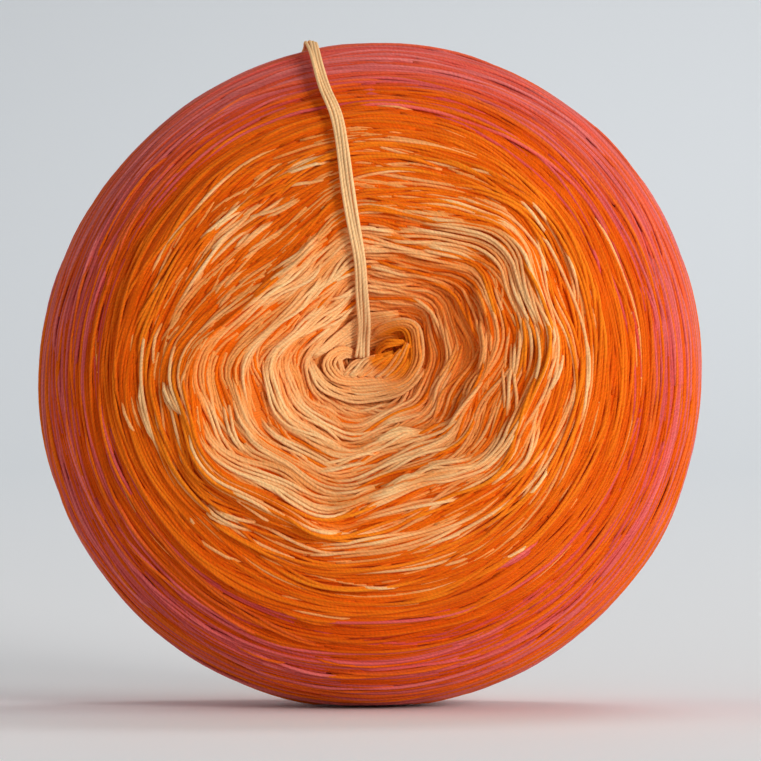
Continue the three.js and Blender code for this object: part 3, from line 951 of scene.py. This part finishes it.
def yarn_material(name):
    """Matt dyed thread: its fine plies show as a slanting twist, with fibres along them, as bumps and as
    painted shade in the base colour.
    """
    material = bpy.data.materials.new(name)
    material.use_nodes = True
    tree = material.node_tree
    shader = tree.nodes["Principled BSDF"]
    # The dye attribute holds each thread's dye with its painted shade.
    dye = add_node(tree, "ShaderNodeAttribute", attribute_name="dye").outputs["Color"]
    place = add_node(tree, "ShaderNodeUVMap", uv_map="thread").outputs["UV"]
    parts = add_node(tree, "ShaderNodeSeparateXYZ", {"Vector": place})
    along, around = parts.outputs["X"], parts.outputs["Y"]
    turn = math_node(tree, "MULTIPLY", around, 2 * math.pi)
    position = add_node(tree, "ShaderNodeNewGeometry").outputs["Position"]
    slack = math_node(tree, "MULTIPLY", noise(tree, position, 400, 2), SLACK)
    twist = math_node(tree, "ADD", turn, math_node(tree, "DIVIDE", along, PLY_PITCH / 2 / math.pi))
    twist = math_node(tree, "ADD", twist, slack)
    ply = math_node(tree, "SINE", math_node(tree, "MULTIPLY", twist, 2))
    line = {0: math_node(tree, "DIVIDE", along, FIBRE_LENGTH)}
    line[1] = math_node(tree, "COSINE", twist)
    line[2] = math_node(tree, "SINE", twist)
    fibre = noise(tree, add_node(tree, "ShaderNodeCombineXYZ", line).outputs["Vector"], 2.4, 3)
    patch = noise(tree, position, 90, 2)
    relief = math_node(tree, "ADD", math_node(tree, "MULTIPLY", ply, 0.1), fibre)
    # Painted shade: the base colour is darker in the twist's grooves and where the fibres lie low.
    shade = map_range(tree, relief, 0.25, 0.75, 0.8, 1.1)
    tone = map_range(tree, patch, 0.3, 0.7, 0.94, 1.05)
    scaled = {0: dye, "Scale": math_node(tree, "MULTIPLY", shade, tone)}
    color = add_node(tree, "ShaderNodeVectorMath", scaled, operation="SCALE").outputs["Vector"]
    tree.links.new(color, shader.inputs["Base Color"])
    bump = add_node(tree, "ShaderNodeBump", {"Height": relief, "Strength": 0.5, "Distance": BUMP})
    tree.links.new(bump.outputs["Normal"], shader.inputs["Normal"])
    shader.inputs["Roughness"].default_value = 0.95
    shader.inputs["Specular IOR Level"].default_value = 0.03
    shader.inputs["Sheen Weight"].default_value = 0.03
    shader.inputs["Sheen Roughness"].default_value = 0.5
    return material


yarn = yarn_material("dyed_yarn")


def finish_piece(piece, node):
    piece.data.materials.append(yarn)
    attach(piece, "root")
    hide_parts(node)


# The camera stands where the photograph was taken from. Its level line, straight ahead, meets the image
# this far below and to the left of its middle, in pixels.
IMAGE = 761
FOCAL = 3570
LEVEL_BELOW = 161.25
AHEAD_LEFT = 8.5
CAMERA_PLACE = (0, -0.7, 0.032)
CAMERA_TILT = math.atan(LEVEL_BELOW / FOCAL)
CAMERA_TURN = math.atan(AHEAD_LEFT / FOCAL)
SENSOR = 36


def make_camera():
    data = bpy.data.cameras.new("camera")
    data.sensor_width = SENSOR
    data.lens = SENSOR * FOCAL / IMAGE
    data.clip_start = 0.01
    data.clip_end = 50
    camera = bpy.data.objects.new("camera", data)
    camera.location = CAMERA_PLACE
    camera.rotation_euler = (math.pi / 2 + CAMERA_TILT, 0, -CAMERA_TURN)
    bpy.context.scene.collection.objects.link(camera)
    bpy.context.scene.camera = camera


make_camera()

# The loose end: its four threads lie side by side
END_SEGMENT = 1.5
END_PITCH = 0.62
END_PRESSES = (0.2, 0.6)  # how much deeper than the part's it lies, on the face and on the rim
PRESS_HEIGHTS = (112, 127)
END_ROLL = 14  # degrees
END_WANDER = 0.12
END_SIDES = 8
END_DYE = PALE + 0.5


def make_loose_end():
    steps = np.linalg.norm(np.diff(END_ROUTE, axis=0), axis=1)
    length = steps.sum()
    share = np.linspace(0, 1, int(length / END_SEGMENT))
    line = through(END_ROUTE, share)
    tangent = np.gradient(line, axis=0)
    tangent /= np.linalg.norm(tangent, axis=1, keepdims=True)
    above = np.maximum(line[:, 2] - RIM_RADIUS, 0)
    outward = np.stack([0 * share, line[:, 1] / 40, above / RIM_RADIUS], axis=1)
    outward -= tangent * (outward * tangent).sum(1, keepdims=True)
    outward /= np.linalg.norm(outward, axis=1, keepdims=True)
    across = np.cross(tangent, outward)
    distance = share * length
    roll = np.radians(END_ROLL) * (np.sin(distance / 19) + 0.6 * np.sin(distance / 7.3 + 1))
    breath = 1 - 0.1 * np.sin(distance / 12) ** 2 + 0.25 * np.exp(-distance / 4)
    press = lerp(*END_PRESSES, smoothstep(line[:, 2], *PRESS_HEIGHTS))
    runs = []
    for rank in range(THREADS):
        offset = (rank - (THREADS - 1) / 2) * END_PITCH * breath
        wander = END_WANDER * np.sin(distance / (4.1 + rank) + 2.1 * rank)
        sink = END_WANDER * np.sin(distance / 5.3 + 1.7 * rank) - press
        points = line + across * (offset * np.cos(roll) + wander)[:, None]
        points += outward * (offset * np.sin(roll) + sink)[:, None]
        dye = np.full(len(share), END_DYE)
        height = np.zeros(len(share))
        runs.append({"points": points, "outward": outward, "height": height, "closed": False, "dye": dye})
    piece = tube_mesh("loose_threads", runs, END_SIDES, THREAD / 2)
    finish_piece(piece, "loose_end")


make_loose_end()

# The deeper yarn that shows between the threads, in the dyes' painted shade colours
BODY_STEP = 4  # map points a face
BODY_DEPTH = 1.3
BODY_GROUND = 0.3


def make_body():
    rows = np.append(np.arange(0, len(SURFACE) - 1, BODY_STEP), len(SURFACE) - 1)
    degrees = np.arange(0, MAP_COLUMNS, 2)
    place = (rows * MAP_STEP).astype(float)
    grid_place, grid_degrees = np.broadcast_arrays(place[:, None], degrees[None, :].astype(float))
    outward = sampled(OUTWARD, grid_place, grid_degrees)
    points = sampled(SURFACE, grid_place, grid_degrees) - outward * BODY_DEPTH
    points[..., 2] = np.maximum(points[..., 2], BODY_GROUND)
    count = len(degrees)
    inner = points[1:-1].reshape(-1, 3)
    co = np.concatenate([points[0, :1], inner, points[-1, :1]])
    faces = []
    last = len(rows) - 3
    for column in range(count):
        following = (column + 1) % count
        faces.append((0, 1 + column, 1 + following))
        for row in range(last):
            a, b = 1 + row * count, 1 + (row + 1) * count
            faces.append((a + column, b + column, b + following, a + following))
        faces.append((1 + last * count + column, len(co) - 1, 1 + last * count + following))
    mesh = bpy.data.meshes.new("deep_yarn_painted_shade")
    mesh.from_pydata((co * MM).tolist(), [], faces)
    mesh.shade_smooth()
    level = dye_level(np.concatenate([[0], np.repeat(place[1:-1], count), [WHOLE]]))
    dye = np.interp(level, (0, THREADS, 2 * THREADS), (PEACH, RUST, ROSE))
    # Painted shade: the deeper yarn takes the dyes' shade colours.
    color = dye_color(PAINTED_SHADE_COLORS, dye).T
    layer = mesh.attributes.new("dye", "FLOAT_COLOR", "POINT")
    layer.data.foreach_set("color", np.column_stack([color, np.ones(len(color))]).ravel())
    mesh.uv_layers.new(name="thread")
    piece = bpy.data.objects.new("deep_yarn_painted_shade", mesh)
    bpy.context.scene.collection.objects.link(piece)
    return piece


body = make_body()
finish_piece(body, "yarn_cake")


def make_turns():
    runs = []
    for thread in sorted(threads, key=lambda thread: thread["place"].mean()):
        for columns, closed in runs_of(thread):
            runs.append(thread_run(thread, columns, closed))
    for curl in PIT_CURLS:
        runs += curl_runs(*curl)
    batch, batches, total = [], [], 0
    for run in runs:
        if total + len(run["points"]) > PIECE_SEGMENTS:
            batches.append(batch)
            batch, total = [], 0
        batch.append(run)
        total += len(run["points"])
    batches.append(batch)
    for number, batch in enumerate(batches, 1):
        piece = tube_mesh(f"turns_{number}", batch, SIDES, THREAD / 2)
        finish_piece(piece, "yarn_cake")


make_turns()

# Floor and backdrop in one sweep, with soft studio light, in metres
SWEEP_FRONT = -2.5
SWEEP_START = 0.055  # where it begins to rise
SWEEP_RADIUS = 3
SWEEP_TURN = 60  # degrees
SWEEP_STEPS = 60
SWEEP_SIDE = 4
# Painted light: the floor's paler colour stands in for the brighter light that falls on it.
FLOOR_COLOR_WITH_PAINTED_LIGHT = (245, 247, 250)
BACKDROP_COLOR = (229, 235, 241)
FLOOR_TOP = 0.06  # height where the floor's colour has turned into the backdrop's
WORLD_COLOR = (0.97, 0.97, 0.97, 1)
WORLD_LIGHT = 0.29
WARM = (1, 0.97, 0.93)
CAKE = (0, 0, 0.06)
LIGHTS = [
    {"name": "key", "place": (1.3, -0.32, 0.5), "target": CAKE, "size": 0.9, "power": 5.5},
    {"name": "front", "place": (0.82, -1.08, 0.4), "target": CAKE, "size": 0.5, "power": 11},
    {
        "name": "backdrop",
        "place": (0.4, 0.7, 1.4),
        "target": (0.2, 1.6, 0.2),
        "size": 0.8,
        "power": 8.3,
        "color": (1, 0.98, 0.96),
    },
    {"name": "left", "place": (-1.15, 0.25, 0.4), "target": CAKE, "size": 0.8, "power": 2.5},
]


def sweep_material():
    """Matt pale paper, painted paler on the floor: painted light for the brighter light on the floor,
    which also bounces more light onto the cake.
    """
    material = bpy.data.materials.new("pale_sweep")
    material.use_nodes = True
    tree = material.node_tree
    shader = tree.nodes["Principled BSDF"]
    position = add_node(tree, "ShaderNodeNewGeometry").outputs["Position"]
    height = add_node(tree, "ShaderNodeSeparateXYZ", {"Vector": position}).outputs["Z"]
    ramp = add_node(tree, "ShaderNodeValToRGB", {"Fac": map_range(tree, height, 0, FLOOR_TOP, 0, 1)})
    ramp.color_ramp.elements[0].color = (*linear(FLOOR_COLOR_WITH_PAINTED_LIGHT), 1)
    ramp.color_ramp.elements[1].color = (*linear(BACKDROP_COLOR), 1)
    tree.links.new(ramp.outputs["Color"], shader.inputs["Base Color"])
    shader.inputs["Roughness"].default_value = 0.7
    return material


def make_sweep():
    profile = [(SWEEP_FRONT, 0), (SWEEP_START, 0)]
    for step in range(1, SWEEP_STEPS + 1):
        turn = math.radians(SWEEP_TURN * step / SWEEP_STEPS)
        y = SWEEP_START + SWEEP_RADIUS * math.sin(turn)
        profile.append((y, SWEEP_RADIUS * (1 - math.cos(turn))))
    co, faces = [], []
    for y, z in profile:
        co += [(-SWEEP_SIDE, y, z), (SWEEP_SIDE, y, z)]
    for index in range(len(profile) - 1):
        a = index * 2
        faces.append((a, a + 1, a + 3, a + 2))
    mesh = bpy.data.meshes.new("studio_sweep")
    mesh.from_pydata(co, [], faces)
    mesh.shade_smooth()
    sweep = bpy.data.objects.new("studio_sweep", mesh)
    bpy.context.scene.collection.objects.link(sweep)
    sweep.data.materials.append(sweep_material())


def make_light(name, place, target, size, power, color=WARM):
    data = bpy.data.lights.new(name, "AREA")
    data.shape = "DISK"
    data.size = size
    data.energy = power
    data.color = color
    light = bpy.data.objects.new(name, data)
    light.location = place
    light.rotation_euler = (Vector(target) - Vector(place)).to_track_quat("-Z", "Y").to_euler()
    bpy.context.scene.collection.objects.link(light)


def make_world():
    world = bpy.data.worlds.new("studio")
    world.use_nodes = True
    background = world.node_tree.nodes["Background"]
    background.inputs["Color"].default_value = WORLD_COLOR
    background.inputs["Strength"].default_value = WORLD_LIGHT
    bpy.context.scene.world = world
    bpy.context.scene.view_settings.view_transform = "Standard"


make_sweep()
for light in LIGHTS:
    make_light(**light)
make_world()
